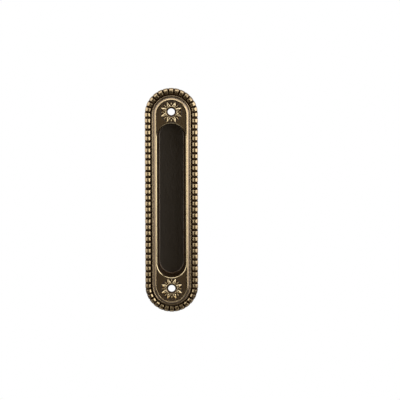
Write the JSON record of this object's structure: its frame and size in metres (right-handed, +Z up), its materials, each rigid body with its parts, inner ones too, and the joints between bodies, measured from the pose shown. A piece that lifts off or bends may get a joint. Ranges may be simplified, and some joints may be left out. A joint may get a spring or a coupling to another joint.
{
  "type": "sliding door handle",
  "caption": "Long round-ended flush pull for a sliding door: beaded rim, moulded frame, deep finger recess, and a countersunk screw hole inside a leafy rosette at each end.",
  "frame": {"origin": "centre of the flange's back face, midway between the screw holes, on the face of the door", "axes": "+Z up along the handle, +Y into the door, so the front faces -Y and +X is to the right of someone facing it"},
  "size_m": [0.036, 0.0136, 0.1542],
  "materials": {
    "antique_bronze": "antique bronze: dark brown in the hollows, rubbed to bright brass on the raised edges"
  },
  "bodies": {
    "root": {"handle_body": "antique_bronze"}
  },
  "joints": []
}
